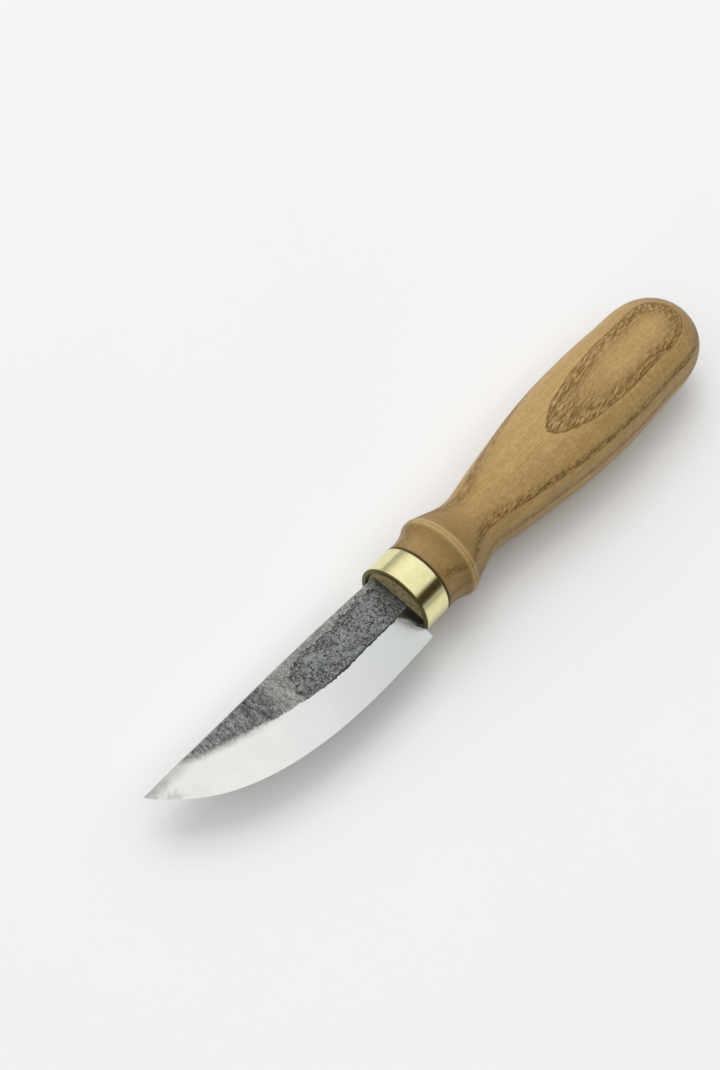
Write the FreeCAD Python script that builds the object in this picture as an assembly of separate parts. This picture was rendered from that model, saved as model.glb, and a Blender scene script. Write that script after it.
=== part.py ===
import FreeCAD, Part
import os

# Whittling knife: forged blade with a hidden tang, brass ferrule, oval ash handle, epoxy bed.
#
# Millimetres. The knife lies on its side: +X runs from the butt to the tip, +Y towards the
# cutting edge, +Z up, square to the blade's flat. Every piece is drawn on the handle's axis,
# with X = 0 at the ferrule's front face, and is moved into the part's frame on export.

Vector = FreeCAD.Vector

# Blade: outline seen square to the flat, and the ground bevel's width at each edge point
BLADE_THICKNESS = 3.2
BLADE_LENGTH = 83.0
SHOULDER_SETBACK = 1.0                  # the shoulders stand this far inside the ferrule
SPINE_POINTS = [(-SHOULDER_SETBACK, -8.35), (14.0, -8.95), (32.0, -9.35), (56.0, -9.5),
                (72.0, -9.65), (BLADE_LENGTH, -9.9)]
EDGE_POINTS = [(0.0, 13.35), (14.5, 13.75), (30.0, 13.4), (45.0, 11.6), (60.0, 7.5),
               (70.0, 2.5), (77.5, -3.45), (81.2, -7.3), (BLADE_LENGTH, -9.9)]
BEVEL_WIDTHS = [10.15, 10.5, 10.75, 12.3, 12.2, 10.8, 9.2, 9.2, 9.0]
EDGE_LAND = 0.10                        # thickness left along the cutting edge
HEEL_LAND = 0.5                         # full-thickness strip left behind the bevel at the heel
HEEL_STEP_HEIGHT = 9.4                  # past this the heel rests on the ferrule's front face
PLUNGE_DIRECTION = Vector(0.2, -1.0, 0)  # the bevel's end leans forward from the heel
CUTTER_OVERRUN = 3.0                    # how far the bevel's surface runs on past its borders

# Tang, behind the blade's shoulders
TANG_LENGTH = 80.0
TANG_ROOT_WIDTH = 9.5
TANG_END_WIDTH = 5.5
TANG_END_THICKNESS = 2.6

# Tang hole, burnt a little wider and deeper than the tang, and filled with epoxy
HOLE_CLEARANCE = 0.6
HOLE_EXTRA_DEPTH = 3.0

# Ferrule
FERRULE_RADIUS = 11.0
FERRULE_WALL = 1.3
FERRULE_LENGTH = 9.1
FERRULE_ROUND = 0.35

# Handle: all distances run back from the ferrule's rear face
HANDLE_LENGTH = 120.0
NOSE_POINTS = [(0.0, 10.95), (3.5, 10.9), (6.5, 11.5), (9.0, 12.6)]    # distance, radius
CREST_WIDTH = 1.1
GRIP_STATIONS = [                       # distance, half width in Y, half thickness in Z
    (14.5, 11.1, 10.9),
    (21.0, 9.4, 9.2),
    (30.0, 10.35, 9.6),
    (45.0, 12.65, 11.1),
    (60.0, 14.5, 12.35),
    (78.0, 15.3, 12.9),
    (97.0, 14.65, 12.6),
]
BUTT_FRACTIONS = [0.30, 0.52, 0.70, 0.84, 0.93, 0.98, 1.0]
BUTT_POWER = 3.0                        # 2 rounds the butt as an ellipse, more makes it blunter
BUTT_FLAT = 0.12                        # flat left at the very end, as a share of the width

# The part's frame: its origin is under the middle of the whole knife, on what it lies on
FRAME_SHIFT = Vector(
    (FERRULE_LENGTH + HANDLE_LENGTH - BLADE_LENGTH) / 2.0,
    0.0,
    max(thickness for _, _, thickness in GRIP_STATIONS),
)


def plane_spline(points):
    """A smooth curve through (x, y) points in the blade's middle plane."""
    curve = Part.BSplineCurve()
    curve.interpolate([Vector(x, y, 0) for x, y in points])
    return curve


def cross_rectangle(x, width, thickness):
    """A rectangle square to the handle's axis, as a closed wire."""
    y, z = width / 2.0, thickness / 2.0
    corners = [Vector(x, -y, -z), Vector(x, y, -z), Vector(x, y, z), Vector(x, -y, z)]
    return Part.makePolygon(corners + corners[:1])


def blade_stock():
    """The blade's outline at full thickness, before grinding."""
    spine = plane_spline(SPINE_POINTS)
    edge = plane_spline(EDGE_POINTS)
    shoulder = Part.makePolygon([
        edge.StartPoint,
        Vector(0, HEEL_STEP_HEIGHT, 0),
        Vector(-SHOULDER_SETBACK, HEEL_STEP_HEIGHT, 0),
        spine.StartPoint,
    ])
    outline = Part.Wire(Part.sortEdges([spine.toShape(), edge.toShape()] + shoulder.Edges)[0])
    stock = Part.Face(outline).extrude(Vector(0, 0, BLADE_THICKNESS))
    stock.translate(Vector(0, 0, -BLADE_THICKNESS / 2.0))
    return stock


def bevel_section(on_edge, inward, width):
    """One triangular slice of what the grinder removes, square to the edge."""
    slope = (BLADE_THICKNESS - EDGE_LAND) / 2.0 / width
    land = Vector(0, 0, EDGE_LAND / 2.0)
    past_edge = on_edge + land - (inward + Vector(0, 0, slope)) * CUTTER_OVERRUN
    past_flat = on_edge + land + (inward + Vector(0, 0, slope)) * (width + CUTTER_OVERRUN)
    above_edge = Vector(past_edge.x, past_edge.y, past_flat.z)
    return Part.makePolygon([past_edge, past_flat, above_edge, past_edge])


def bevel_cutter():
    """The body that grinds the upper bevel, lofted along the cutting edge."""
    edge = plane_spline(EDGE_POINTS)
    heel = Vector(EDGE_POINTS[0][0] + HEEL_LAND, EDGE_POINTS[0][1], 0)
    plunge = Vector(PLUNGE_DIRECTION).normalize()
    sections = [bevel_section(heel, plunge, BEVEL_WIDTHS[0])]
    for (x, y), width in zip(EDGE_POINTS[1:], BEVEL_WIDTHS[1:]):
        on_edge = Vector(x, y, 0)
        tangent = edge.tangent(edge.parameter(on_edge))[0]
        inward = Vector(tangent.y, -tangent.x, 0).normalize()
        sections.append(bevel_section(on_edge, inward, width))
    return Part.makeLoft(sections, True, False)


def tang_prism(length, clearance):
    """The tang's taper, or the hole around it when given a clearance."""
    root = cross_rectangle(-SHOULDER_SETBACK, TANG_ROOT_WIDTH + 2 * clearance,
                           BLADE_THICKNESS + 2 * clearance)
    end = cross_rectangle(-length, TANG_END_WIDTH + 2 * clearance,
                          TANG_END_THICKNESS + 2 * clearance)
    return Part.makeLoft([root, end], True, True)


def make_blade():
    """One forging: blade, shoulders and the tang inside the handle."""
    upper = bevel_cutter()
    lower = upper.mirror(Vector(0, 0, 0), Vector(0, 0, 1))
    ground = blade_stock().cut(upper).cut(lower)
    return ground.fuse(tang_prism(TANG_LENGTH, 0.0)).removeSplitter()


def make_ferrule():
    """A ring cut from brass tube, with its outer corners eased."""
    inner_radius = FERRULE_RADIUS - FERRULE_WALL
    base = Vector(-FERRULE_LENGTH, 0, 0)
    outer = Part.makeCylinder(FERRULE_RADIUS, FERRULE_LENGTH, base, Vector(1, 0, 0))
    inner = Part.makeCylinder(inner_radius, FERRULE_LENGTH, base, Vector(1, 0, 0))
    tube = outer.cut(inner)
    outer_corners = [edge for edge in tube.Edges
                     if isinstance(edge.Curve, Part.Circle) and edge.Curve.Radius > inner_radius]
    return tube.makeFillet(FERRULE_ROUND, outer_corners)


def handle_front():
    """The turned front: tenon, stopping short of the ferrule's front, then nose and crest."""
    tenon_radius = FERRULE_RADIUS - FERRULE_WALL
    crest_radius = NOSE_POINTS[-1][1]
    crest_back = NOSE_POINTS[-1][0] + CREST_WIDTH
    nose = Part.BSplineCurve()
    nose.interpolate([Vector(-FERRULE_LENGTH - back, radius, 0) for back, radius in NOSE_POINTS])
    corners = [
        nose.EndPoint,
        Vector(-FERRULE_LENGTH - crest_back, crest_radius, 0),
        Vector(-FERRULE_LENGTH - crest_back, 0, 0),
        Vector(-SHOULDER_SETBACK, 0, 0),
        Vector(-SHOULDER_SETBACK, tenon_radius, 0),
        Vector(-FERRULE_LENGTH, tenon_radius, 0),
        nose.StartPoint,
    ]
    profile = Part.Wire([nose.toShape()] + Part.makePolygon(corners).Edges)
    return Part.Face(profile).revolve(Vector(0, 0, 0), Vector(1, 0, 0), 360)


def oval_section(back, half_width, half_thickness):
    """One oval across the handle, at a distance behind the ferrule."""
    centre = Vector(-FERRULE_LENGTH - back, 0, 0)
    oval = Part.Ellipse(centre + Vector(0, half_width, 0),
                        centre + Vector(0, 0, half_thickness), centre)
    return Part.Wire([oval.toShape()])


def butt_stations():
    """Ovals that round off the butt from the last grip station."""
    start, half_width, half_thickness = GRIP_STATIONS[-1]
    stations = []
    for fraction in BUTT_FRACTIONS:
        share = (1.0 - (1.0 - BUTT_FLAT ** 2) * fraction ** BUTT_POWER) ** 0.5
        back = start + (HANDLE_LENGTH - start) * fraction
        stations.append((back, half_width * share, half_thickness * share))
    return stations


def handle_grip():
    """The shaped grip: neck, oval belly and rounded butt."""
    crest_radius = NOSE_POINTS[-1][1]
    crest_back = NOSE_POINTS[-1][0] + CREST_WIDTH
    stations = [(crest_back, crest_radius, crest_radius)] + GRIP_STATIONS + butt_stations()
    return Part.makeLoft([oval_section(*station) for station in stations], True, False)


def make_handle():
    """The handle, with the hole for the tang open at the tenon's face."""
    solid = handle_front().fuse(handle_grip()).removeSplitter()
    return solid.cut(tang_prism(TANG_LENGTH + HOLE_EXTRA_DEPTH, HOLE_CLEARANCE))


def make_tang_adhesive():
    """The epoxy that fills the hole around the tang, flush with the tenon's face."""
    hole = tang_prism(TANG_LENGTH + HOLE_EXTRA_DEPTH, HOLE_CLEARANCE)
    return hole.cut(tang_prism(TANG_LENGTH, 0.0))


PIECES = {
    "blade": make_blade,
    "ferrule": make_ferrule,
    "handle": make_handle,
    "tang_adhesive": make_tang_adhesive,
}


def main():
    os.makedirs("parts", exist_ok=True)
    for name, make_piece in PIECES.items():
        piece = make_piece()
        piece.translate(FRAME_SHIFT)
        piece.exportStep("parts/" + name + ".step")
        box = piece.optimalBoundingBox(False)
        print(name, "solids", len(piece.Solids), "valid", piece.isValid(),
              "volume", round(piece.Volume), "box", [round(v, 2) for v in (
                  box.XMin, box.XMax, box.YMin, box.YMax, box.ZMin, box.ZMax)])


main()
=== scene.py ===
import math

import bmesh
import bpy
import numpy as np
from mathutils import Matrix, Vector, noise


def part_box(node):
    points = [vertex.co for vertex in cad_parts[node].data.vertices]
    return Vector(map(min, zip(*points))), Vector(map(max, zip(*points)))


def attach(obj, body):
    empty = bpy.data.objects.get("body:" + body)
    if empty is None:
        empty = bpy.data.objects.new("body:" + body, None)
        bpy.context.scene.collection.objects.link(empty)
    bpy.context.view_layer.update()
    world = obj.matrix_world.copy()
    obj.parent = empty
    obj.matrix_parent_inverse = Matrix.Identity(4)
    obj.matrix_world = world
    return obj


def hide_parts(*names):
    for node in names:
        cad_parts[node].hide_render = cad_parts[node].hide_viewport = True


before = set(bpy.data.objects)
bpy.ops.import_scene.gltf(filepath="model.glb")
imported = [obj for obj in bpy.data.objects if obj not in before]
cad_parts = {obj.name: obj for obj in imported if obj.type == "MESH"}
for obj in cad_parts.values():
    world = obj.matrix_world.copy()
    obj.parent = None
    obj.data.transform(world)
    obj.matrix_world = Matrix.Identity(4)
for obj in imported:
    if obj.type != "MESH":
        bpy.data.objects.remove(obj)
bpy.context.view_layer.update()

# Whittling knife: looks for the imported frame. Shapes are drawn in millimetres on the handle's
# axis, with X = 0 at the ferrule's front face, as in the part's own design, and are placed by
# the ferrule node's box. +X runs to the blade's tip, +Y to the cutting edge, and +Z up.

MM = 0.001
MERGE_DISTANCE = 0.004          # mesh points closer than this become one
SEED_STEPS = (17.3, 5.1, 9.7)   # how far each seed moves the noise, so that no two match
FRACTAL = (1.0, 2.0, 3)         # the noise's fall-off, its step in size and its number of layers
FERRULE_LOW, FERRULE_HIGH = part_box("ferrule")
AXIS_ORIGIN = Vector((FERRULE_HIGH.x, (FERRULE_LOW.y + FERRULE_HIGH.y) / 2,
                      (FERRULE_LOW.z + FERRULE_HIGH.z) / 2))

# Blade: outline seen square to the flat, and the ground bevel's width at each edge point
BLADE_THICKNESS = (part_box("blade")[1].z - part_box("blade")[0].z) / MM
BLADE_LENGTH = (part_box("blade")[1].x - FERRULE_HIGH.x) / MM
SHOULDER_SETBACK = 1.0          # the shoulders stand this far inside the ferrule
HEEL_STEP_HEIGHT = 9.4          # past this the heel rests on the ferrule's front face
HEEL_STEP_EASE = 0.15
HEEL_STEP_REACH = 4.0           # how far forward the mesh is drawn in to make the step
SPINE_POINTS = [(-SHOULDER_SETBACK, -8.35), (14.0, -8.95), (32.0, -9.35), (56.0, -9.5),
                (72.0, -9.65), (BLADE_LENGTH, -9.9)]
EDGE_POINTS = [(0.0, 13.35), (14.5, 13.75), (30.0, 13.4), (45.0, 11.6), (60.0, 7.5),
               (70.0, 2.5), (77.5, -3.45), (81.2, -7.3), (BLADE_LENGTH, -9.9)]
BEVEL_WIDTHS = [9.95, 10.35, 10.65, 12.1, 12.1, 10.7, 9.2, 9.2, 9.0]
EDGE_LAND = 0.02
EDGE_SAMPLES = 900
POINTS_AT_ONCE = 4000           # that are measured against the edge, to save memory
BEVEL_CONVEXITY = 0.30
BEVEL_SHARPNESS = 45.0          # per mm: how tightly flat and bevel meet
PLUNGE_POINTS = [(3.2, 3.8), (1.9, 6.2), (1.45, 8.5), (0.3, 10.3), (-1.5, 11.3)]
PLUNGE_RUN = 1.3                # how far the wheel's side slopes back from there
PLUNGE_DULLING = (-0.22, 0.05)  # where the dull finish begins and is full, behind the curve
RICASSO_Y = 3.75                # the forged skin stops here behind the plunge
RICASSO_EASE = 0.3
RICASSO_SKIN_SLOPE = 0.15
SPINE_SAMPLES = 200
SPINE_CHAMFER = 0.22
SPINE_HIGHLIGHT_DEPTH = 0.27               # a highlight is painted on the spine's corners this far down
TANG_SKIN = 0.2                 # the skin's depth on the tang, well inside the scale
ROOT_SLACK = 0.1                # points this little behind the shoulders still count as blade
FORGE_WAVE = 0.035              # height of the hammered flat's unevenness
FORGE_BROAD_PER_MM = 0.16
FORGE_FINE_PER_MM = 0.75
FORGE_FINE_SHARE = 0.45
BLADE_SIDES = ((1, 1), (-1, 8))  # which way each side faces in Z, and the seed of its unevenness
BLADE_COLUMNS = 380
BLADE_COLUMN_CROWDING = 1.12    # above 1, the columns stand closer together at the heel
BLADE_ROWS = 96
CHAMFER_ROWS = [0.0, 0.005, 0.010, 0.015, 0.022]    # shares of the width, next to the spine
FIRST_PLAIN_ROW = 0.03
TANG_LENGTH = 80.0
TANG_OVERLAP = 0.5              # behind X = 0, so inside the blade's root
TANG_ROOT = (9.5, 3.2)          # width, thickness
TANG_END = (5.5, 2.6)

# Ferrule
FERRULE_RADIUS = (FERRULE_HIGH.z - FERRULE_LOW.z) / 2 / MM
FERRULE_LENGTH = (FERRULE_HIGH.x - FERRULE_LOW.x) / MM
FERRULE_WALL = 1.3
FERRULE_EASE = 0.35             # radius of the eased outer corners
FERRULE_EASE_DEGREES = (0, 22, 45, 68, 90)
BORE_CHAMFER = 0.15
BARREL_STEPS = 24
FERRULE_AROUND = 288

# Handle: distance behind the ferrule, half width in Y, half thickness in Z
HANDLE_LENGTH = (FERRULE_LOW.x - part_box("handle")[0].x) / MM
HANDLE_STATIONS = [
    (0.0, 10.95, 10.95), (3.5, 10.9, 10.9), (6.5, 11.5, 11.5), (9.0, 12.6, 12.6),
    (10.1, 12.6, 12.6), (14.5, 11.1, 10.9), (21.0, 9.4, 9.2), (30.0, 10.35, 9.6),
    (45.0, 12.65, 11.1), (60.0, 14.5, 12.35), (78.0, 15.3, 12.9), (97.0, 14.65, 12.6),
]
CREST_FRONT, CREST_BACK = 9.0, 10.1
BUTT_POWER = 3.0                # 2 rounds the butt as an ellipse, more makes it blunter
CREST_BEADS = (CREST_FRONT - 0.1, CREST_BACK + 0.1)
CREST_BEAD = 0.04               # height of the fine ridges left by the turning tool
CREST_BEAD_WIDTH = 0.28
CREST_HIGHLIGHT_WIDTH = 1.7        # the painted highlight along the ridges spreads this many bead widths
TENON_GAP = 0.02                # between the tenon and the ferrule's bore
TENON_FACE_RADII = (0.05, 2.5, 5.0, 7.5)
TENON_EASE = (0.1, 0.25)        # along and across
NOSE_STEP = 0.08                # how far the nose stands in where it meets the ferrule
HANDLE_WOBBLE = 0.10            # unevenness left by hand shaping
HANDLE_WOBBLE_PER_MM = 0.055
WOBBLE_SEED = 4
WOBBLE_START = 0.5              # the unevenness starts this far behind the ferrule
WOBBLE_FADE_RADIUS = 6.0        # and fades out towards the axis, inside this radius
LEAST_REACH = 0.5               # from the axis, so that nothing is divided by zero
HANDLE_AROUND = 256
CREST_RINGS_FROM, CREST_RINGS_TO = 7.5, 12.0
RING_GAP_NOSE = 0.3             # spacing of the mesh's rings along the nose, the crest and the grip
RING_GAP_CREST = 0.09
RING_GAP_GRIP = 0.42
BUTT_RINGS = 60
PROFILE_SAMPLES = 600

# Epoxy
HOLE_CLEARANCE = 0.6
HOLE_EXTRA_DEPTH = 3.0
BED_RECESS = 0.02               # of the bed's end below the tenon's face
BEAD_RADIUS = 0.30              # the line squeezed out along the shoulders
BEAD_LUMPS = 0.13               # how much its radius varies
BEAD_LUMPS_PER_MM = 0.9
BEAD_SEEDS = (3.7, 1.3)
BEAD_OVERHANG = 0.15            # how far the line runs on past each end of the shoulders
BEAD_LIFT = 0.04
BEAD_FLATNESS = 0.8
BEAD_END_POWER = 8              # higher rounds the line's ends more abruptly
BEAD_END_LEAST = 0.02
BEAD_STEPS = 90
BEAD_AROUND = 10

# Wood: the growth rings are nearly flat layers across the handle
RING_SPACING = 5.9
RING_HEIGHT = 10.9              # height of one ring boundary at RING_X
RING_X = -97.0
RING_TILT_X = 0.028
RING_TILT_Y = 0.07
RING_FAN = 0.022                # how much more the deeper rings tilt, per mm below the first
EARLY_WOOD_DEPTH = 1.6          # of the first ring; the deeper ones are DEEP_RING_FACTOR thicker
DEEP_RING_FACTOR = 1.25
RINGS_BELOW = 20.0              # counted in below the first, to keep every height positive
GRAIN_SLOPE = 8.5               # degrees that the pores turn towards +Y from the handle's axis

# Camera, from the handle's axis at the ferrule's front
CAMERA_TARGET = (-8.7, -19.2, 0.0)
CAMERA_DISTANCE = 507.2
CAMERA_AZIMUTH = 23.45
CAMERA_ELEVATION = 61.0
CAMERA_ROLL = 19.5
CAMERA_LENS = 65.1
CAMERA_SENSOR = 36.0

# Studio, in metres and watts. The dark flag's soft edges are in radians from overhead towards
# +Y, and its ends are shares of the way towards +X and -X.
FLAG_NEAR = (0.58, 0.80)
FLAG_FAR = (1.18, 1.40)
FLAG_ENDS = (0.75, 0.95)
FLAG_COLOUR = (0.040, 0.027, 0.006, 1.0)
BACKDROP_COLOUR = (0.94, 0.94, 0.94, 1.0)
WORLD_STRENGTH = 0.94
FLOOR_HALF = 3.0
SOFTBOX_LOCATION = (-0.50, -1.15, 2.10)
SOFTBOX_SIZE = 1.5
SOFTBOX_WATTS = 19.0


# ---------------------------------------------------------------- numbers and curves

class Spline:
    """A natural cubic spline through points, by its share of the chord length."""

    def __init__(self, points):
        self.points = np.array(points, float)
        steps = np.linalg.norm(np.diff(self.points, axis=0), axis=1)
        self.knots = np.concatenate([[0.0], np.cumsum(steps)])
        slopes = np.diff(self.points, axis=0) / steps[:, None]
        count = len(self.points)
        matrix = np.eye(count)
        right = np.zeros_like(self.points)
        for i in range(1, count - 1):
            matrix[i, i - 1:i + 2] = steps[i - 1], 2 * (steps[i - 1] + steps[i]), steps[i]
            right[i] = 6 * (slopes[i] - slopes[i - 1])
        self.bends = np.linalg.solve(matrix, right)

    def shares(self):
        """Each given point's share of the length."""
        return self.knots / self.knots[-1]

    def at(self, shares):
        """The points at these shares of the length, from 0 to 1."""
        length = np.clip(np.asarray(shares, float), 0, 1) * self.knots[-1]
        i = np.clip(np.searchsorted(self.knots, length, side="right") - 1, 0, len(self.knots) - 2)
        step = self.knots[i + 1] - self.knots[i]
        before = (length - self.knots[i])[..., None]
        after = (self.knots[i + 1] - length)[..., None]
        step = step[..., None]
        low, high = self.bends[i], self.bends[i + 1]
        return (low * after ** 3 / (6 * step) + high * before ** 3 / (6 * step)
                + (self.points[i] / step - low * step / 6) * after
                + (self.points[i + 1] / step - high * step / 6) * before)


def smoothstep(low, high, value):
    """0 at low and before it, 1 at high and past it, and a smooth step between."""
    share = np.clip((value - low) / (high - low), 0, 1)
    return share * share * (3 - 2 * share)


def noise_field(points, scale, seed):
    """Seeded fractal noise at each (x, y, z) point, about -1 to 1."""
    shift = Vector([seed * step for step in SEED_STEPS])
    return np.array([noise.fractal(Vector(p) * scale + shift, *FRACTAL) for p in points])


# ---------------------------------------------------------------- meshes

def new_piece(name, points_mm, faces, nodes, sharp_angle=35.0):
    """A mesh object from points in mm on the handle's axis, standing for CAD nodes."""
    mesh = bpy.data.meshes.new(name)
    placed = np.asarray(points_mm, float) * MM + np.array(AXIS_ORIGIN)
    mesh.from_pydata(placed.tolist(), [], faces)
    work = bmesh.new()
    work.from_mesh(mesh)
    bmesh.ops.remove_doubles(work, verts=work.verts, dist=MERGE_DISTANCE * MM)
    bmesh.ops.recalc_face_normals(work, faces=work.faces)
    limit = math.radians(sharp_angle)
    for face in work.faces:
        face.smooth = True
    for edge in work.edges:
        edge.smooth = len(edge.link_faces) == 2 and edge.calc_face_angle(0) < limit
    work.to_mesh(mesh)
    work.free()
    piece = bpy.data.objects.new(name, mesh)
    bpy.context.scene.collection.objects.link(piece)
    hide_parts(*nodes)
    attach(piece, "root")
    return piece


BAR_FACES = ((0, 1, 2, 3), (4, 5, 6, 7), (0, 1, 5, 4), (1, 2, 6, 5), (2, 3, 7, 6), (3, 0, 4, 7))


def bar_points(ends):
    """The eight corners of a tapered bar along X, from (x, width, thickness) at its two ends."""
    points = []
    for x, width, thickness in ends:
        y, z = width / 2, thickness / 2
        points += [(x, -y, -z), (x, y, -z), (x, y, z), (x, -y, z)]
    return points


def store(piece, name, values_at):
    """Keeps one number per vertex, worked out from its place in mm on the handle's axis."""
    co = np.zeros(len(piece.data.vertices) * 3)
    piece.data.vertices.foreach_get("co", co)
    points = (co.reshape(-1, 3) - np.array(AXIS_ORIGIN)) / MM
    attribute = piece.data.attributes.new(name, "FLOAT", "POINT")
    attribute.data.foreach_set("value", values_at(points).astype(np.float32))


def grid_faces(rows, columns, start=0, closed=False):
    """Quads over a grid of vertices. closed joins the last column to the first."""
    faces = []
    across = columns if closed else columns - 1
    for i in range(rows - 1):
        for j in range(across):
            a = start + i * columns + j
            b = start + i * columns + (j + 1) % columns
            faces.append((a, b, b + columns, a + columns))
    return faces


# ---------------------------------------------------------------- blade

class BladeShape:
    """The blade's surface: its outline, and its half thickness and finish at any (x, y)."""

    def __init__(self):
        self.spine = Spline(SPINE_POINTS)
        self.edge = Spline(EDGE_POINTS)
        shares = np.linspace(0, 1, EDGE_SAMPLES)
        self.edge_points = self.edge.at(shares)
        self.edge_widths = np.interp(shares, self.edge.shares(), BEVEL_WIDTHS)

    def outline_grid(self):
        """Points in the blade's plane, from the heel to the tip and from the spine to the edge."""
        along = np.linspace(0, 1, BLADE_COLUMNS) ** BLADE_COLUMN_CROWDING
        plain_rows = np.linspace(FIRST_PLAIN_ROW, 1, BLADE_ROWS - len(CHAMFER_ROWS))
        across = np.concatenate([CHAMFER_ROWS, plain_rows])
        spine, edge = self.spine.at(along), self.edge.at(along)
        grid = spine[:, None] * (1 - across[None, :, None]) + edge[:, None] * across[None, :, None]
        inside_ring = smoothstep(HEEL_STEP_HEIGHT + HEEL_STEP_EASE,
                                 HEEL_STEP_HEIGHT - HEEL_STEP_EASE, grid[:1, :, 1])
        wanted = -SHOULDER_SETBACK * inside_ring
        fade = np.clip(1 - along * self.spine.knots[-1] / HEEL_STEP_REACH, 0, 1)[:, None]
        grid[:, :, 0] += (wanted - grid[:1, :, 0]) * fade
        return grid

    def bevel(self, xy):
        """The ground surface's half thickness: what grinding alone would leave."""
        share = np.zeros(len(xy))
        for start in range(0, len(xy), POINTS_AT_ONCE):
            part = slice(start, start + POINTS_AT_ONCE)
            gaps = np.linalg.norm(xy[part, None] - self.edge_points[None], axis=2)
            share[part] = gaps.min(axis=1) / self.edge_widths[gaps.argmin(axis=1)]
        inside = np.clip(share, 0, 1)
        return (EDGE_LAND + (BLADE_THICKNESS - EDGE_LAND)
                * (share + BEVEL_CONVEXITY * inside * (1 - inside))) / 2

    def behind_plunge(self, xy):
        """How far each point lies behind the curve where the bevel stops."""
        stop, height = np.array(PLUNGE_POINTS).T
        return np.interp(xy[:, 1], height, stop) - xy[:, 0]

    def flat(self, xy, seed):
        """The forged flat's half thickness, hammered slightly uneven."""
        points = np.column_stack([xy, np.zeros(len(xy))])
        broad = noise_field(points, FORGE_BROAD_PER_MM, seed)
        fine = noise_field(points, FORGE_FINE_PER_MM, seed + 3)
        return BLADE_THICKNESS / 2 + FORGE_WAVE * (broad + FORGE_FINE_SHARE * fine - 1)

    def half_thickness(self, xy, seed):
        """The finished half thickness, and how far the forged skin lies below the grind."""
        bevel = self.bevel(xy)
        flat = self.flat(xy, seed)
        behind = self.behind_plunge(xy)
        slope = smoothstep(0.0, PLUNGE_RUN, behind)
        bevel = bevel + (BLADE_THICKNESS - bevel) * slope
        ground = -np.logaddexp(-BEVEL_SHARPNESS * bevel, -BEVEL_SHARPNESS * flat) / BEVEL_SHARPNESS
        skin = np.where(behind > 0, (RICASSO_Y - xy[:, 1]) * RICASSO_SKIN_SLOPE, bevel - flat)
        chamfer = np.clip(SPINE_CHAMFER - self.from_spine(xy), 0, SPINE_CHAMFER)
        return np.maximum(ground - chamfer, EDGE_LAND / 2), skin

    def from_spine(self, xy):
        """How far each point lies below the spine."""
        spine = self.spine.at(np.linspace(0, 1, SPINE_SAMPLES))
        return xy[:, 1] - np.interp(xy[:, 0], *spine.T)


def make_blade():
    """The forged and ground blade on its tang, which reaches a little way into the blade."""
    shape = BladeShape()
    grid = shape.outline_grid()
    rows, columns = grid.shape[:2]
    flat_points = grid.reshape(-1, 2)
    points = []
    for side, seed in BLADE_SIDES:
        half = shape.half_thickness(flat_points, seed)[0]
        points.append(np.column_stack([flat_points, side * half]))
    size = rows * columns
    faces = grid_faces(rows, columns) + grid_faces(rows, columns, size)
    for i in range(rows - 1):
        for j in (0, columns - 1):
            a = i * columns + j
            faces.append((a, a + columns, a + columns + size, a + size))
    for j in range(columns - 1):
        faces.append((j, j + 1, j + 1 + size, j + size))
    tang = bar_points([(-TANG_OVERLAP, *TANG_ROOT), (-TANG_LENGTH, *TANG_END)])
    faces += [tuple(2 * size + k for k in quad) for quad in BAR_FACES]
    piece = new_piece("forged_blade", np.vstack(points + [tang]), faces, ["blade"])

    def skin_at(found):
        """The skin's depth at each kept vertex, by its place on the blade."""
        values = np.full(len(found), TANG_SKIN)
        in_blade = found[:, 0] > -SHOULDER_SETBACK - ROOT_SLACK
        for side, seed in BLADE_SIDES:
            on_side = (found[:, 2] * side > 0) & in_blade
            values[on_side] = shape.half_thickness(found[on_side, :2], seed)[1]
        return values

    def plunge_at(found):
        """1 on the dull slope between the bevel's end and the ferrule, 0 elsewhere."""
        behind = shape.behind_plunge(found[:, :2])
        below_skin = smoothstep(RICASSO_Y - RICASSO_EASE, RICASSO_Y, found[:, 1])
        return smoothstep(*PLUNGE_DULLING, behind) * below_skin

    def spine_at(found):
        """1 on the spine's corners, where a highlight is painted, 0 elsewhere."""
        return (shape.from_spine(found[:, :2]) < SPINE_HIGHLIGHT_DEPTH).astype(float)

    store(piece, "skin", skin_at)
    store(piece, "plunge", plunge_at)
    store(piece, "spine", spine_at)
    return piece


# ---------------------------------------------------------------- ferrule

def make_ferrule():
    """A ring cut from tube: eased outer corners and a small burr-free chamfer inside."""
    inner = FERRULE_RADIUS - FERRULE_WALL
    ease = FERRULE_EASE
    turns = [math.radians(degrees) for degrees in FERRULE_EASE_DEGREES]
    front = [(-ease + ease * math.sin(t), FERRULE_RADIUS - ease + ease * math.cos(t)) for t in turns]
    back = [(-FERRULE_LENGTH - x, r) for x, r in reversed(front)]
    step = (FERRULE_LENGTH - 2 * ease) / BARREL_STEPS
    barrel = [(-FERRULE_LENGTH + ease + step * i, FERRULE_RADIUS) for i in range(1, BARREL_STEPS)]
    bore = [(0.0, inner + BORE_CHAMFER), (-BORE_CHAMFER, inner),
            (-FERRULE_LENGTH + BORE_CHAMFER, inner), (-FERRULE_LENGTH, inner + BORE_CHAMFER)]
    profile = back + barrel + front + bore
    points = []
    for x, r in profile:
        for k in range(FERRULE_AROUND):
            angle = 2 * math.pi * k / FERRULE_AROUND
            points.append((x, r * math.sin(angle), r * math.cos(angle)))
    faces = grid_faces(len(profile), FERRULE_AROUND, closed=True)
    last = (len(profile) - 1) * FERRULE_AROUND
    for k in range(FERRULE_AROUND):
        after = (k + 1) % FERRULE_AROUND
        faces.append((last + k, last + after, after, k))
    return new_piece("brass_ferrule", points, faces, ["ferrule"])


# ---------------------------------------------------------------- handle

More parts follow.
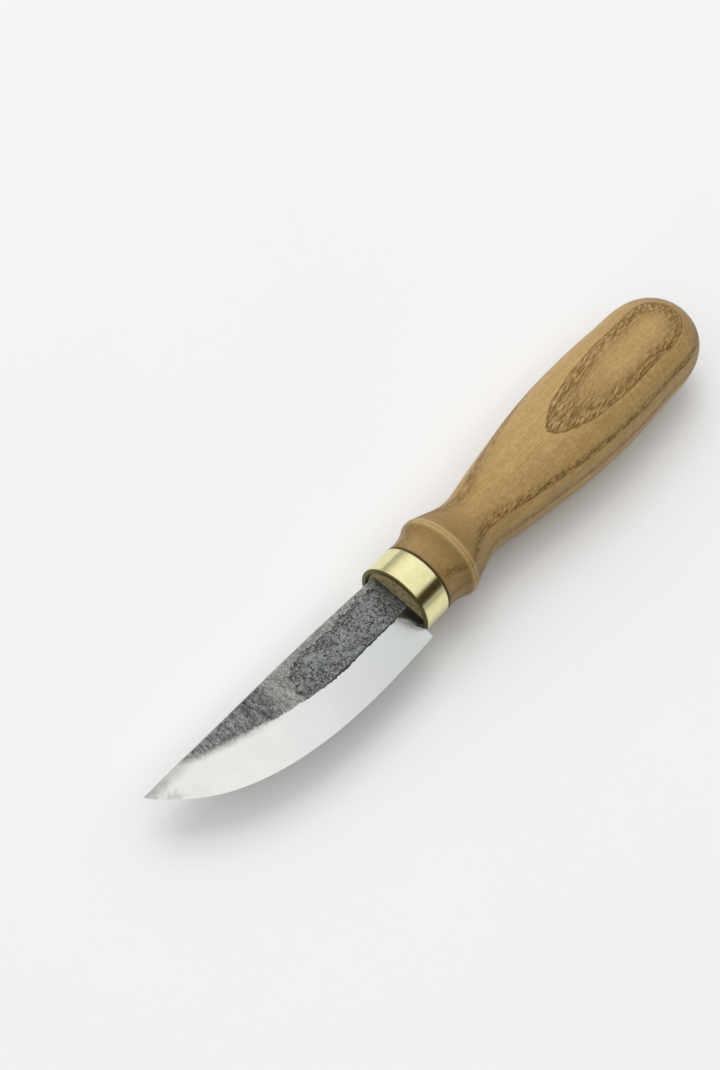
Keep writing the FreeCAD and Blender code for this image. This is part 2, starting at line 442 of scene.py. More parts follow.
def handle_profile(back):
    """Half width and half thickness at each distance behind the ferrule."""
    stations = np.array(HANDLE_STATIONS)
    front = stations[stations[:, 0] <= CREST_FRONT]
    rear = stations[stations[:, 0] >= CREST_BACK]
    start, half_width, half_thickness = stations[-1]
    sizes = np.zeros((len(back), 2))
    for piece, low, high in ((front, 0.0, CREST_FRONT), (rear, CREST_BACK, start)):
        dense = Spline(piece).at(np.linspace(0, 1, PROFILE_SAMPLES))
        here = (back >= low) & (back <= high)
        for k in (0, 1):
            sizes[here, k] = np.interp(back[here], dense[:, 0], dense[:, k + 1])
    crest = (back > CREST_FRONT) & (back < CREST_BACK)
    sizes[crest] = front[-1, 1:]
    butt = back > start
    share = np.clip((back[butt] - start) / (HANDLE_LENGTH - start), 0, 1)
    rounded = np.sqrt(1 - share ** BUTT_POWER)
    sizes[butt, 0] = half_width * rounded
    sizes[butt, 1] = half_thickness * rounded
    for bead in CREST_BEADS:
        sizes += (CREST_BEAD * np.exp(-((back - bead) / CREST_BEAD_WIDTH) ** 2))[:, None]
    return sizes


def handle_distances():
    """Where the rings of vertices go: close together at the crest and round the butt."""
    start = HANDLE_STATIONS[-1][0]
    butt_turn = np.linspace(0, math.pi / 2, BUTT_RINGS)[1:]
    return np.concatenate([
        np.arange(0, CREST_RINGS_FROM, RING_GAP_NOSE),
        np.arange(CREST_RINGS_FROM, CREST_RINGS_TO, RING_GAP_CREST),
        np.arange(CREST_RINGS_TO, start, RING_GAP_GRIP),
        start + (HANDLE_LENGTH - start) * np.sin(butt_turn),
    ])


def make_handle():
    """The turned and flattened handle: tenon, nose, crest, neck, belly and rounded butt."""
    back = handle_distances()
    sizes = handle_profile(back)
    tenon = FERRULE_RADIUS - FERRULE_WALL - TENON_GAP
    front_x = -SHOULDER_SETBACK
    rings = [(front_x, r, r) for r in TENON_FACE_RADII + (tenon - TENON_EASE[1],)]
    rings += [(front_x - TENON_EASE[0], tenon, tenon), (-FERRULE_LENGTH, tenon, tenon)]
    rings += [(-FERRULE_LENGTH, sizes[0, 0] - NOSE_STEP, sizes[0, 1] - NOSE_STEP)]
    rings += [(-FERRULE_LENGTH - b, w, t) for b, (w, t) in zip(back, sizes)][1:]
    angle = 2 * np.pi * np.arange(HANDLE_AROUND) / HANDLE_AROUND
    points = np.vstack([
        np.column_stack([np.full(HANDLE_AROUND, x), w * np.sin(angle), t * np.cos(angle)])
        for x, w, t in rings])
    outside = points[:, 0] < -FERRULE_LENGTH - WOBBLE_START
    wobble = noise_field(points[outside], HANDLE_WOBBLE_PER_MM, WOBBLE_SEED)
    wobble = HANDLE_WOBBLE * wobble[:, None]
    radial = points[outside] * (0, 1, 1)
    reach = np.maximum(np.linalg.norm(radial, axis=1), LEAST_REACH)[:, None]
    points[outside] += radial / reach * wobble * np.clip(reach / WOBBLE_FADE_RADIUS, 0, 1)
    faces = grid_faces(len(rings), HANDLE_AROUND, closed=True)
    faces.append(tuple(range(HANDLE_AROUND)))
    last = (len(rings) - 1) * HANDLE_AROUND
    faces.append(tuple(last + k for k in range(HANDLE_AROUND)))
    piece = new_piece("ash_handle", points, faces, ["handle"], sharp_angle=40.0)

    def ridge_at(found):
        """1 on the crest's two fine ridges, fading to 0 beside them; it carries a painted highlight.
        """
        distance = -FERRULE_LENGTH - found[:, 0]
        width = CREST_BEAD_WIDTH * CREST_HIGHLIGHT_WIDTH
        return sum(np.exp(-((distance - bead) / width) ** 2) for bead in CREST_BEADS)

    store(piece, "ridge", ridge_at)
    return piece


# ---------------------------------------------------------------- epoxy

def make_epoxy():
    """The bed round the tang, with the thin uneven line that squeezed out along the shoulders."""
    root, end = (tuple(side + 2 * HOLE_CLEARANCE for side in size) for size in (TANG_ROOT, TANG_END))
    points = bar_points([(-TANG_LENGTH - HOLE_EXTRA_DEPTH, *end),
                         (-SHOULDER_SETBACK - BED_RECESS, *root)])
    faces = list(BAR_FACES)
    low_y, high_y = SPINE_POINTS[0][1] - BEAD_OVERHANG, HEEL_STEP_HEIGHT + BEAD_OVERHANG
    for side in (1, -1):
        start = len(points)
        for i in range(BEAD_STEPS):
            share = i / (BEAD_STEPS - 1)
            y = low_y + (high_y - low_y) * share
            lump = noise.noise(Vector((y * BEAD_LUMPS_PER_MM, side * BEAD_SEEDS[0], BEAD_SEEDS[1])))
            from_middle = abs(2 * share - 1)
            rounded_end = math.sqrt(max(BEAD_END_LEAST, 1 - from_middle ** BEAD_END_POWER))
            radius = (BEAD_RADIUS + BEAD_LUMPS * lump) * rounded_end
            for k in range(BEAD_AROUND):
                angle = 2 * math.pi * k / BEAD_AROUND
                height = BLADE_THICKNESS / 2 + BEAD_LIFT + radius * math.sin(angle)
                points.append((-SHOULDER_SETBACK + radius * math.cos(angle) * BEAD_FLATNESS, y,
                               side * height))
        faces += grid_faces(BEAD_STEPS, BEAD_AROUND, start, closed=True)
        faces.append(tuple(start + k for k in range(BEAD_AROUND)))
        faces.append(tuple(start + (BEAD_STEPS - 1) * BEAD_AROUND + k for k in range(BEAD_AROUND)))
    return new_piece("epoxy_bead", points, faces, ["tang_adhesive"])


# ---------------------------------------------------------------- materials

# The colour sockets of a Mix node, which share their names with its other sockets
MIX_FIRST, MIX_SECOND, MIX_RESULT = 6, 7, 2


class Graph:
    """Short calls that build one material's nodes."""

    def __init__(self, name):
        self.material = bpy.data.materials.new(name)
        self.material.use_nodes = True
        self.tree = self.material.node_tree
        self.shader = self.tree.nodes["Principled BSDF"]

    def feed(self, socket, value):
        """Links a socket to another node's output, or sets its value."""
        if isinstance(value, bpy.types.NodeSocket):
            self.tree.links.new(value, socket)
        else:
            socket.default_value = value

    def node(self, kind, inputs=(), **settings):
        node = self.tree.nodes.new(kind)
        for key, value in settings.items():
            setattr(node, key, value)
        for key, value in dict(inputs).items():
            self.feed(node.inputs[key], value)
        return node

    def math(self, operation, *values):
        node = self.node("ShaderNodeMath", operation=operation)
        for socket, value in zip(node.inputs, values):
            self.feed(socket, value)
        return node.outputs[0]

    def add(self, first, second):
        return self.math("ADD", first, second)

    def subtract(self, first, second):
        return self.math("SUBTRACT", first, second)

    def times(self, first, *others):
        product = first
        for other in others:
            product = self.math("MULTIPLY", product, other)
        return product

    def most(self, first, *others):
        greatest = first
        for other in others:
            greatest = self.math("MAXIMUM", greatest, other)
        return greatest

    def place(self, stretch=(1, 1, 1), slope_degrees=0.0):
        """The point in mm on the handle's axis, with each direction drawn out by a factor. The
        slope turns the first two directions towards +Y."""
        coordinates = self.node("ShaderNodeTexCoord").outputs["Object"]
        return self.node("ShaderNodeMapping", {
            "Vector": coordinates, "Location": AXIS_ORIGIN,
            "Rotation": (0.0, 0.0, math.radians(slope_degrees)),
            "Scale": [MM * factor for factor in stretch]}, vector_type="TEXTURE").outputs[0]

    def axes(self, vector):
        """The vector's x, y and z."""
        return tuple(self.node("ShaderNodeSeparateXYZ", {"Vector": vector}).outputs)

    def noise(self, vector, per_mm, detail=3.0, roughness=0.55, seed=0.0):
        """Noise from 0 to 1, with about per_mm features in a millimetre."""
        return self.node("ShaderNodeTexNoise", {
            "Vector": vector, "W": seed, "Scale": per_mm, "Detail": detail,
            "Roughness": roughness, "Distortion": 0.0}, noise_dimensions="4D").outputs["Fac"]

    def swing(self, vector, per_mm, detail=3.0, roughness=0.55, seed=0.0):
        """Noise from -0.5 to 0.5."""
        return self.subtract(self.noise(vector, per_mm, detail, roughness, seed), 0.5)

    def wobble(self, vector, per_mm, amount):
        """The vector, pushed about by noise by up to amount."""
        shift = self.node("ShaderNodeTexNoise", {"Vector": vector, "Scale": per_mm,
                                                 "Detail": 2.0}).outputs["Color"]
        middle = self.node("ShaderNodeVectorMath", {0: shift, 1: (0.5, 0.5, 0.5)},
                           operation="SUBTRACT").outputs[0]
        scaled = self.node("ShaderNodeVectorMath", {0: middle, "Scale": 2 * amount},
                           operation="SCALE").outputs[0]
        return self.node("ShaderNodeVectorMath", {0: vector, 1: scaled},
                         operation="ADD").outputs[0]

    def cells(self, vector, per_mm):
        """Distance to the nearest of scattered points, as a share of their spacing."""
        voronoi = self.node("ShaderNodeTexVoronoi", {"Vector": vector, "Scale": per_mm})
        return voronoi.outputs["Distance"]

    def ramp(self, value, low, high, out_low=0.0, out_high=1.0):
        """A smooth step from low to high."""
        return self.node("ShaderNodeMapRange", {
            "Value": value, "From Min": low, "From Max": high,
            "To Min": out_low, "To Max": out_high},
            interpolation_type="SMOOTHSTEP").outputs["Result"]

    def mix(self, factor, first, second):
        """The first colour, turning into the second as the factor goes from 0 to 1."""
        return self.node("ShaderNodeMix", {"Factor": factor, MIX_FIRST: first, MIX_SECOND: second},
                         data_type="RGBA").outputs[MIX_RESULT]

    def attribute(self, name):
        """A number stored at each vertex."""
        return self.node("ShaderNodeAttribute", attribute_name=name).outputs["Fac"]

    def bump(self, height_mm):
        """A bump from a height in millimetres."""
        return self.node("ShaderNodeBump", {
            "Height": height_mm, "Strength": 1.0, "Distance": MM}).outputs["Normal"]

    def finish(self, **inputs):
        """Feeds the shader's sockets, with _ for each space in a name, and gives the material."""
        for key, value in inputs.items():
            self.feed(self.shader.inputs[key.replace("_", " ")], value)
        return self.material


def rgb(red, green, blue):
    """A linear colour."""
    return (red, green, blue, 1.0)


# Blade colours. A pair is the darker and the lighter tone.
PALE_SCALE = rgb(0.22, 0.225, 0.212), rgb(0.42, 0.425, 0.40)
FORWARD_SCALE = rgb(0.070, 0.075, 0.072), rgb(0.260, 0.268, 0.255)
DARK_SCALE = rgb(0.180, 0.192, 0.184), rgb(0.290, 0.304, 0.292)
SCALE_SHADOW = rgb(0.050, 0.057, 0.055)
SCALE_GLINT = rgb(0.55, 0.57, 0.55)
SCALE_PIT = rgb(0.012, 0.015, 0.014)
# painted highlight on the spine's corners
SPINE_HIGHLIGHT_COLOUR = rgb(0.42, 0.42, 0.39)
BEVEL_AT_HEEL = rgb(0.64, 0.665, 0.655)
BEVEL_AT_TIP = rgb(0.85, 0.85, 0.825)
BEVEL_CLOUD = rgb(0.68, 0.70, 0.685)
BEVEL_STAIN = rgb(0.30, 0.31, 0.295)
BEVEL_BY_SPINE = rgb(0.36, 0.37, 0.35)
BEVEL_FRINGE = rgb(0.24, 0.245, 0.225)
# the dull slope's tones; the darker one, next to the ferrule, is painted shade
PLUNGE_SLOPE_SHADED = rgb(0.080, 0.084, 0.074), rgb(0.170, 0.176, 0.158)


def scale_border(g, place, x):
    """Where the forged skin survives the grinding: crisp behind, gritty and fading towards the
    tip. Gives the scale's cover, the dark seam along its border, and how ragged that border is."""
    grit = g.swing(place, 2.3, 4.0, 0.8)
    bays = g.swing(place, 0.7, 2.0, 0.5, seed=11.0)
    ragged = g.times(g.add(grit, g.times(bays, 0.6)), g.ramp(x, 28.0, 60.0, 0.13, 0.26))
    skin = g.add(g.attribute("skin"), ragged)
    cover = g.ramp(skin, g.ramp(x, 34.0, 64.0, 0.0, -0.08), g.ramp(x, 34.0, 66.0, 0.012, 0.14))
    seam = g.times(g.ramp(skin, -0.006, 0.006), g.ramp(skin, 0.04, 0.095, 1.0, 0.0),
                   g.ramp(x, 28.0, 36.0, 0.95, 0.0))
    return cover, seam, ragged


def scale_coats(g, place, x, y):
    """Two coats of scale: a dark pitted one behind, breaking off in scallops, and a paler one
    that darkens again farther forward. Gives the dark coat, the line along its edge, and the
    forward zone."""
    end = g.times(g.subtract(36.2, x), 0.28)
    top = g.times(g.add(y, g.ramp(x, 24.0, 30.0, 6.9, 6.35)), 0.34)
    scallops = g.times(g.swing(place, 0.28, 5.0, 0.62, seed=9.0), 2.2)
    inside = g.add(g.math("MINIMUM", end, top), scallops)
    dark_coat = g.ramp(inside, -0.04, 0.04)
    broken = g.ramp(g.noise(place, 0.5, 3.0, seed=12.0), 0.38, 0.52, 0.35, 1.0)
    coat_line = g.times(g.ramp(g.math("ABSOLUTE", inside), 0.03, 0.10, 1.0, 0.0), broken)
    forward = g.times(g.ramp(x, 41.0, 44.5), g.ramp(x, 46.0, 58.0, 1.0, 0.62))
    return dark_coat, coat_line, forward


def scale_pits(g, place, y, dark_coat, forward):
    """Pits, specks and the outlines of flaked scale."""
    warped = g.wobble(place, 0.8, 0.45)
    pits = g.ramp(g.cells(warped, 1.05), 0.22, 0.36, 1.0, 0.0)
    pitted = g.ramp(g.noise(place, 0.30, 3.0, seed=5.0), 0.34, 0.50)
    contour = g.math("ABSOLUTE", g.subtract(g.noise(warped, 0.50, 3.0, 0.6), 0.5))
    outline = g.times(g.ramp(contour, 0.010, 0.034, 0.8, 0.0), dark_coat)
    near_spine = g.ramp(y, -4.0, -8.0, 0.60, 1.0)
    speckled = g.most(dark_coat, g.times(forward, near_spine))
    large = g.times(g.most(g.times(pits, pitted), outline), g.ramp(speckled, 0.0, 1.0, 0.3, 1.0))
    specks = g.ramp(g.cells(g.wobble(place, 1.7, 0.3), 1.8), 0.14, 0.34, 1.0, 0.0)
    return g.most(large, g.times(specks, g.ramp(forward, 0.0, 1.0, 0.55, 0.80)))


def forged_colour(g, place, grain, dark, dark_coat, forward):
    """The scale's tone: streaks across the blade where the pale coat shows, patches behind, a
    coarse grain over both, and a painted highlight along the spine's corners."""
    across = g.noise(g.place((0.7, 2.4, 1)), 0.60, 5.0, 0.70, seed=7.0)
    streaked = g.ramp(across, 0.36, 0.64)
    pale = g.mix(forward, g.mix(streaked, *PALE_SCALE), g.mix(streaked, *FORWARD_SCALE))
    patches = g.ramp(g.noise(place, 0.22, 3.0, seed=8.0), 0.35, 0.65)
    grey = g.mix(dark_coat, pale, g.mix(patches, *DARK_SCALE))
    shadows = g.times(g.ramp(grain, 0.38, 0.52, 0.75, 0.0), g.ramp(dark_coat, 0.0, 1.0, 1.0, 0.80))
    grey = g.mix(shadows, grey, SCALE_SHADOW)
    grey = g.mix(g.ramp(grain, 0.52, 0.66, 0.0, 0.60), grey, SCALE_GLINT)
    forged = g.mix(g.times(dark, 0.92), grey, SCALE_PIT)
    # painted highlight: the spine's corners are lightened where light would catch the chamfer
    return g.mix(g.times(g.attribute("spine"), 0.45), forged, SPINE_HIGHLIGHT_COLOUR)


def ground_colour(g, place, x, y, ragged):
    """The bevel's tone: brighter towards the tip, a cloud or two, stains at the point, a grey
    fringe where the scale has been ground thin, and the dull slope in front of the ferrule, with
    painted shade darkening it towards the ferrule."""
    bright = g.mix(g.ramp(x, 6.0, 58.0), BEVEL_AT_HEEL, BEVEL_AT_TIP)
    cloud = g.noise(place, 0.10, 3.0, seed=6.0)
    bright = g.mix(g.ramp(cloud, 0.35, 0.65, 0.0, 0.25), bright, BEVEL_CLOUD)
    stain = g.times(g.ramp(g.noise(place, 0.45, 4.0, 0.6, seed=3.0), 0.40, 0.66),
                    g.ramp(x, 70.0, 81.0))
    bright = g.mix(g.times(stain, 0.58), bright, BEVEL_STAIN)
    by_spine = g.times(g.ramp(x, 60.0, 68.0), g.ramp(y, -9.2, -6.0, 0.55, 0.0))
    bright = g.mix(by_spine, bright, BEVEL_BY_SPINE)
    thinned = g.add(g.attribute("skin"), g.times(ragged, 0.7))
    fringe = g.times(g.ramp(thinned, -0.17, 0.02), g.ramp(x, 40.0, 58.0, 0.0, 0.50))
    bright = g.mix(fringe, bright, BEVEL_FRINGE)
    # the dull slope is darkened towards the ferrule by painted shade
    return g.mix(g.attribute("plunge"), bright, g.mix(g.ramp(x, 0.3, 2.4), *PLUNGE_SLOPE_SHADED))


def blade_material():
    """Forge scale, pitted and outlined, over bright bevels with fine marks square to the edge."""
    g = Graph("forged_and_ground_steel")
    place = g.place()
    x, y, _ = g.axes(place)
    scale, seam, ragged = scale_border(g, place, x)
    dark_coat, coat_line, forward = scale_coats(g, place, x, y)
    dark = g.most(scale_pits(g, place, y, dark_coat, forward), g.most(coat_line, seam))
    grain = g.noise(place, 1.9, 5.0, 0.8, seed=4.0)
    lines = g.noise(g.place((0.22, 9.0, 1.0)), 2.2, 4.0, 0.7, seed=1.0)

    bright = ground_colour(g, place, x, y, ragged)
    forged = forged_colour(g, place, grain, dark, dark_coat, forward)
    roughness = g.add(g.times(g.ramp(grain, 0.3, 0.7, 0.44, 0.64), scale),
                      g.times(g.ramp(lines, 0.25, 0.75, 0.26, 0.36), g.subtract(1.0, scale)))
    relief = g.times(scale, g.add(g.times(dark, -0.050), g.times(grain, 0.07)))
    relief = g.add(relief, g.times(lines, 0.0010))
    return g.finish(Base_Color=g.mix(scale, bright, forged),
                    Metallic=g.subtract(1.0, g.times(scale, 0.55)),
                    Roughness=roughness, Normal=g.bump(relief))


CLEAN_BRASS = rgb(0.80, 0.735, 0.37), rgb(0.86, 0.81, 0.47)
# tarnish in the bore; painted dark reflection on the front rim; painted shade with a dark joint at
# the back edge
BRASS_TARNISH_AND_PAINTED_DARK = rgb(0.085, 0.070, 0.014)


def brass_material():
    """Turned and polished brass with fine marks round the ring, a dull tarnished bore, and dull cut
    ends painted dark: a painted dark reflection on the front rim, and a dark joint with painted
    shade at the back edge.
    """
    g = Graph("polished_brass")
    place = g.place()
    x, y, z = g.axes(place)
    radius = g.math("SQRT", g.add(g.times(y, y), g.times(z, z)))
    turned = g.noise(g.place((0.10, 4.0, 4.0)), 1.5, 4.0, 0.75)
    rubbed = g.noise(place, 0.5, 4.0, 0.6, seed=3.0)
    # The bore's darkening is tarnish. The front rim's is a painted dark reflection. The back edge's
    # is partly a dark joint and partly painted shade.
    tarnish_and_painted_dark = g.most(g.ramp(x, -0.60, -0.32), g.ramp(x, -8.55, -8.95),
                     g.ramp(radius, FERRULE_RADIUS - 0.6, FERRULE_RADIUS - 1.0))
    clean = g.mix(g.ramp(rubbed, 0.3, 0.7), *CLEAN_BRASS)
    roughness = g.add(g.ramp(turned, 0.25, 0.75, 0.14, 0.22), g.times(tarnish_and_painted_dark, 0.2))
    relief = g.add(g.times(turned, 0.0035), g.times(rubbed, 0.004))
    return g.finish(Base_Color=g.mix(g.times(tarnish_and_painted_dark, 0.94), clean, BRASS_TARNISH_AND_PAINTED_DARK), Metallic=1.0,
                    Roughness=roughness, Normal=g.bump(relief))


# Wood colours
TAN = rgb(0.352, 0.214, 0.069), rgb(0.472, 0.308, 0.118)
TAN_STREAK = rgb(0.24, 0.147, 0.041)
TAN_FIBRE = rgb(0.555, 0.385, 0.157)
TAN_LIGHT = rgb(0.60, 0.430, 0.186)
TAN_DARK = rgb(0.23, 0.140, 0.039)
TAN_RIPPLE = rgb(0.60, 0.430, 0.189)
FLECK = rgb(0.15, 0.090, 0.028)
EARLY_WOOD = rgb(0.255, 0.147, 0.045)
EARLY_RIDGE = rgb(0.56, 0.395, 0.165)
OPEN_GRAIN = rgb(0.112, 0.056, 0.014)
END_GRAIN = rgb(0.15, 0.090, 0.023)
# the wood darkens towards the ferrule
WOOD_DARKER_NEAR_FERRULE = rgb(0.15, 0.086, 0.020)
# painted highlight on the crest's ridges
CREST_HIGHLIGHT_COLOUR = rgb(0.54, 0.38, 0.16)
# partly grime, partly painted shade in the joint behind the ferrule
JOINT_GRIME_AND_SHADE = rgb(0.040, 0.022, 0.006)
TENON_FACE = rgb(0.20, 0.150, 0.075), rgb(0.40, 0.310, 0.170)


def ring_height(g, x, y, z):
    """Height above the ring boundary next below in mm, and height above the topmost one."""
    warp = g.times(g.swing(g.place((5, 1.6, 1)), 0.10, 2.0), 1.2)
    fray = g.times(g.swing(g.place((5, 1, 1)), 1.0, 3.0), 0.40)
    tilt = g.add(g.times(g.subtract(RING_HEIGHT, z), RING_FAN), RING_TILT_Y)
    height = g.subtract(z, g.times(y, tilt))
    height = g.subtract(height, g.times(g.subtract(x, RING_X), RING_TILT_X))
    height = g.add(g.subtract(height, RING_HEIGHT), g.add(warp, fray))
    share = g.math("FRACT", g.add(g.math("DIVIDE", height, RING_SPACING), RINGS_BELOW))
    return g.times(share, RING_SPACING), height


def early_wood(g, x, y, z):
    """The porous early wood's cover, its pale ridges, and the open pores and furrows that run
    along the handle."""
    above, height = ring_height(g, x, y, z)
    depth = g.times(g.ramp(height, 0.0, -0.3, 1.0, DEEP_RING_FACTOR), EARLY_WOOD_DEPTH)
    level = g.math("DIVIDE", above, depth)
    early = g.times(g.ramp(level, 0.0, 0.06), g.ramp(level, 0.45, 1.25, 1.0, 0.0))
    first_row = g.times(g.ramp(level, 0.0, 0.02), g.ramp(level, 0.04, 0.11, 1.0, 0.0))

    furrows = g.noise(g.place((8.0, 1, 1), GRAIN_SLOPE), 3.5, 2.5, 0.55, seed=3.0)
    furrow = g.times(g.ramp(furrows, 0.45, 0.57), early)
    ridge = g.times(g.ramp(furrows, 0.46, 0.38), early)
    tubes = g.wobble(g.place((6.0, 1.0, 1.0), GRAIN_SLOPE), 0.7, 0.20)
    pores = g.times(g.ramp(g.cells(tubes, 2.2), 0.10, 0.32, 1.0, 0.0), early)
    open_grain = g.most(g.times(furrow, 0.85), g.times(pores, 0.80), g.times(first_row, 0.75))
    faint = g.times(g.ramp(height, -6.5, -10.0, 1.0, 0.5),
                    g.ramp(g.add(height, y), -12.0, -8.0, 0.75, 1.0))
    return early, ridge, g.times(open_grain, faint)


def tan_colour(g, fibre, flecks, early, ridge):
    """The oiled wood's tone, in slow clouds and streaks, with fibre, mottle, ripple and flecks."""
    cloud = g.noise(g.place((2.5, 1, 1)), 0.07, 3.0, 0.5, seed=4.0)
    streak = g.noise(g.place((12, 1, 1)), 0.45, 3.0, 0.6, seed=7.0)
    mottle = g.noise(g.place((1.6, 1, 1)), 1.4, 4.0, 0.7, seed=8.0)
    ripple = g.noise(g.place((0.6, 4, 4)), 0.50, 2.0, 0.5, seed=10.0)
    colour = g.mix(g.ramp(cloud, 0.3, 0.7), *TAN)
    for cover, tone in (
            (g.ramp(streak, 0.30, 0.70, 0.45, 0.0), TAN_STREAK),
            (g.ramp(fibre, 0.30, 0.70, 0.0, 0.40), TAN_FIBRE),
            (g.ramp(mottle, 0.50, 0.72, 0.0, 0.45), TAN_LIGHT),
            (g.ramp(mottle, 0.50, 0.30, 0.0, 0.45), TAN_DARK),
            (g.ramp(ripple, 0.48, 0.70, 0.0, 0.15), TAN_RIPPLE),
            (g.times(flecks, 0.40), FLECK),
            (g.times(early, 0.55), EARLY_WOOD),
            (g.times(ridge, 0.55), EARLY_RIDGE)):
        colour = g.mix(cover, colour, tone)
    return colour


def wood_material():
    """Oiled ash: flat growth rings, corrugated porous early wood, fine fibre, dark end grain."""
    g = Graph("oiled_ash")
    place = g.place()
    x, y, z = g.axes(place)
    early, ridge, open_grain = early_wood(g, x, y, z)
    fibre = g.noise(g.place((18, 1, 1)), 2.6, 4.0, 0.65, seed=2.0)
    flecks = g.cells(g.wobble(g.place((5.0, 1.0, 1.0)), 0.6, 0.25), 1.6)
    flecks = g.ramp(flecks, 0.10, 0.22, 1.0, 0.0)
    facing_ends = g.math("ABSOLUTE", g.axes(g.node("ShaderNodeTexCoord").outputs["Normal"])[0])

    colour = tan_colour(g, fibre, flecks, early, ridge)
    colour = g.mix(g.times(open_grain, 0.90), colour, OPEN_GRAIN)
    colour = g.mix(g.ramp(facing_ends, 0.05, 0.60, 0.0, 0.50), colour, END_GRAIN)
    # darker towards the ferrule
    colour = g.mix(g.ramp(x, -44.0, -14.0, 0.0, 0.45), colour, WOOD_DARKER_NEAR_FERRULE)
    # painted highlight along the crest's two fine ridges
    colour = g.mix(g.times(g.attribute("ridge"), 0.62), colour, CREST_HIGHLIGHT_COLOUR)
    stained = g.ramp(g.noise(place, 0.9, 4.0, 0.7, seed=14.0), 0.35, 0.65)
    # Behind the ferrule the wood darkens to a line that is partly grime and partly painted shade;
    # the tenon's face takes its own tones.
    inside_ferrule = g.mix(g.ramp(x, -5.0, -2.0), JOINT_GRIME_AND_SHADE, g.mix(stained, *TENON_FACE))
    covered = g.most(g.ramp(x, -1.6, -1.2), g.ramp(x, -10.0, -9.3, 0.0, 0.93))
    colour = g.mix(covered, colour, inside_ferrule)

    roughness = g.add(g.ramp(fibre, 0.25, 0.75, 0.38, 0.52), g.times(open_grain, 0.25))
    relief = g.add(g.times(open_grain, -0.040), g.times(fibre, 0.012))
    relief = g.add(relief, g.times(flecks, -0.015))
    return g.finish(Base_Color=colour, Roughness=roughness, Specular_IOR_Level=0.28,
                    Normal=g.bump(relief))


DARK_EPOXY = rgb(0.012, 0.010, 0.008), rgb(0.040, 0.032, 0.024)
PALE_PAPER = rgb(0.835, 0.835, 0.835), rgb(0.855, 0.855, 0.855)


def epoxy_material():
    """Dark tinted epoxy, dull where it was wiped."""
    g = Graph("dark_epoxy")
    place = g.place()
    cloud = g.noise(place, 0.8, 3.0)
    return g.finish(Base_Color=g.mix(cloud, *DARK_EPOXY),
                    Roughness=g.ramp(cloud, 0.3, 0.7, 0.30, 0.60),
                    Normal=g.bump(g.times(g.noise(place, 2.5), 0.02)))


def floor_material():
    """A matt off-white paper surface."""
    g = Graph("pale_floor")
    place = g.place()
    tone = g.noise(place, 0.01, 2.0)
    return g.finish(Base_Color=g.mix(tone, *PALE_PAPER), Roughness=0.9,
                    Normal=g.bump(g.times(g.noise(place, 1.2), 0.01)))


# ---------------------------------------------------------------- stage

def make_floor():
    """A plain flat floor at Z = 0."""
    mesh = bpy.data.meshes.new("floor")
    half = FLOOR_HALF
    corners = [(-half, -half, 0), (half, -half, 0), (half, half, 0), (-half, half, 0)]
    mesh.from_pydata(corners, [], [(0, 1, 2, 3)])
    floor = bpy.data.objects.new("floor", mesh)
    bpy.context.scene.collection.objects.link(floor)
    floor.data.materials.append(floor_material())


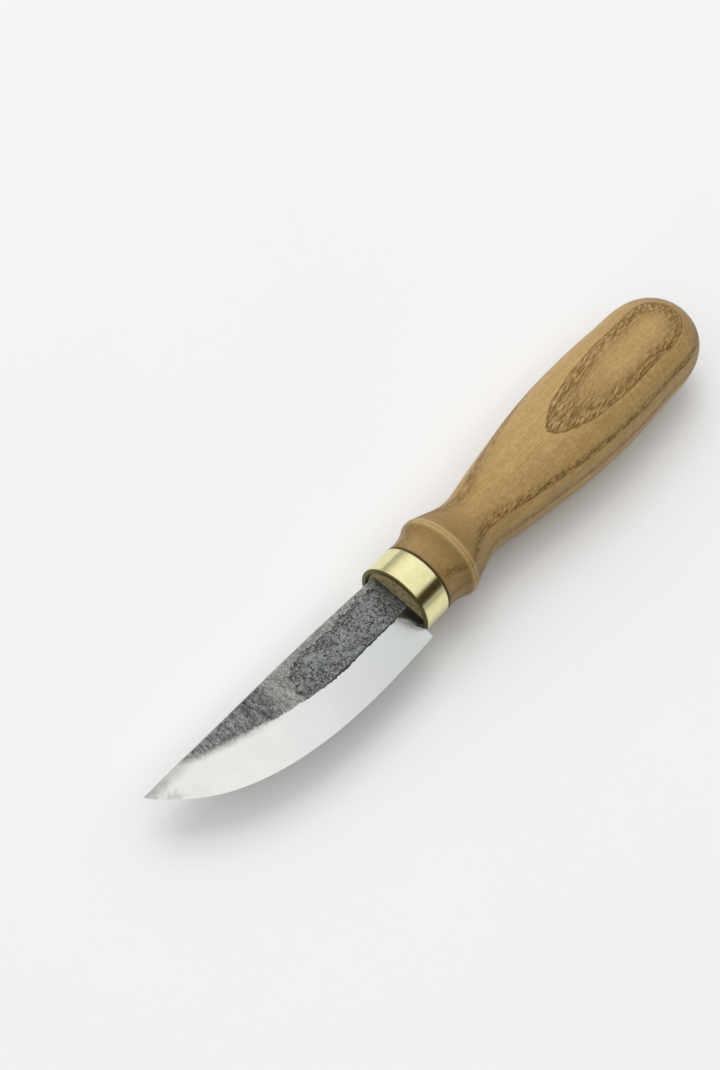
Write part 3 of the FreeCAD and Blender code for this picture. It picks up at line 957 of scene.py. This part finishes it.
def make_world():
    """Soft studio surroundings, brighter overhead. The camera sees plain pale grey; the metal
    also mirrors a long dark flag on the +Y side."""
    world = bpy.data.worlds.new("studio")
    bpy.context.scene.world = world
    world.use_nodes = True
    tree = world.node_tree

    def node(kind, inputs=(), **settings):
        made = tree.nodes.new(kind)
        for key, value in settings.items():
            setattr(made, key, value)
        for key, value in dict(inputs).items():
            if isinstance(value, bpy.types.NodeSocket):
                tree.links.new(value, made.inputs[key])
            else:
                made.inputs[key].default_value = value
        return made.outputs

    def step(value, low, high, out_low=0.0, out_high=1.0):
        return node("ShaderNodeMapRange", {
            "Value": value, "From Min": low, "From Max": high, "To Min": out_low,
            "To Max": out_high}, interpolation_type="SMOOTHSTEP")["Result"]

    def math_of(operation, *values):
        return node("ShaderNodeMath", dict(enumerate(values)), operation=operation)[0]

    def mix(factor, first, second):
        return node("ShaderNodeMix", {"Factor": factor, MIX_FIRST: first, MIX_SECOND: second},
                    data_type="RGBA")[MIX_RESULT]

    # The sky, a little dimmer near the horizon, on the +Y side, and low on the -Y side
    direction = node("ShaderNodeSeparateXYZ", {0: node("ShaderNodeTexCoord")["Generated"]})
    x, y, z = direction["X"], direction["Y"], direction["Z"]
    overhead = step(z, 0.05, 0.60, 0.56, 1.14)
    dimmed = step(y, -0.5, 0.5, 1.0, 0.88)
    low = math_of("MULTIPLY", step(z, 0.15, 0.60, 1.0, 0.0), step(y, -0.3, -0.8))
    shade = math_of("SUBTRACT", 1.0, math_of("MULTIPLY", low, 0.16))
    sky = math_of("MULTIPLY", math_of("MULTIPLY", overhead, dimmed), shade)

    # The dark flag, across the sky from -X to +X
    from_overhead = math_of("ARCTAN2", y, z)
    flag = math_of("MULTIPLY", step(from_overhead, *FLAG_NEAR),
                   step(from_overhead, *FLAG_FAR, 1.0, 0.0))
    flag = math_of("MULTIPLY", flag, step(math_of("ABSOLUTE", x), *FLAG_ENDS, 1.0, 0.0))
    grey = node("ShaderNodeCombineColor", {0: sky, 1: sky, 2: sky})[0]
    mirrored = mix(flag, grey, FLAG_COLOUR)
    seen = mix(node("ShaderNodeLightPath")["Is Camera Ray"], mirrored, BACKDROP_COLOUR)
    background = tree.nodes["Background"]
    tree.links.new(seen, background.inputs["Color"])
    background.inputs["Strength"].default_value = WORLD_STRENGTH


def aim(thing, location, target, roll_degrees=0.0):
    """Puts a light or camera at a place, looking at a target."""
    forward = (Vector(target) - Vector(location)).normalized()
    turn = forward.to_track_quat("-Z", "Y").to_matrix().to_4x4()
    roll = Matrix.Rotation(math.radians(roll_degrees), 4, "Z")
    thing.matrix_world = Matrix.Translation(location) @ turn @ roll


def make_softbox():
    """One large soft light. Metal doesn't mirror it, so it leaves no hard square on the brass."""
    data = bpy.data.lights.new("key_softbox", "AREA")
    data.shape = "SQUARE"
    data.size = SOFTBOX_SIZE
    data.energy = SOFTBOX_WATTS
    light = bpy.data.objects.new("key_softbox", data)
    light.visible_glossy = False
    bpy.context.scene.collection.objects.link(light)
    aim(light, SOFTBOX_LOCATION, AXIS_ORIGIN)


def make_camera():
    """The camera, looking at the knife from above the blade's edge side."""
    data = bpy.data.cameras.new("camera")
    data.lens = CAMERA_LENS
    data.sensor_width = CAMERA_SENSOR
    camera = bpy.data.objects.new("camera", data)
    bpy.context.scene.collection.objects.link(camera)
    target = AXIS_ORIGIN + Vector(CAMERA_TARGET) * MM
    azimuth, elevation = math.radians(CAMERA_AZIMUTH), math.radians(CAMERA_ELEVATION)
    outward = Vector((math.cos(elevation) * math.cos(azimuth),
                      math.cos(elevation) * math.sin(azimuth), math.sin(elevation)))
    aim(camera, target + outward * CAMERA_DISTANCE * MM, target, CAMERA_ROLL)
    bpy.context.scene.camera = camera


# ---------------------------------------------------------------- the scene

def main():
    pieces = {
        make_blade: blade_material,
        make_ferrule: brass_material,
        make_handle: wood_material,
        make_epoxy: epoxy_material,
    }
    for make_piece, make_material in pieces.items():
        make_piece().data.materials.append(make_material())
    make_floor()
    make_world()
    make_softbox()
    make_camera()
    bpy.context.scene.view_settings.view_transform = "Standard"


main()
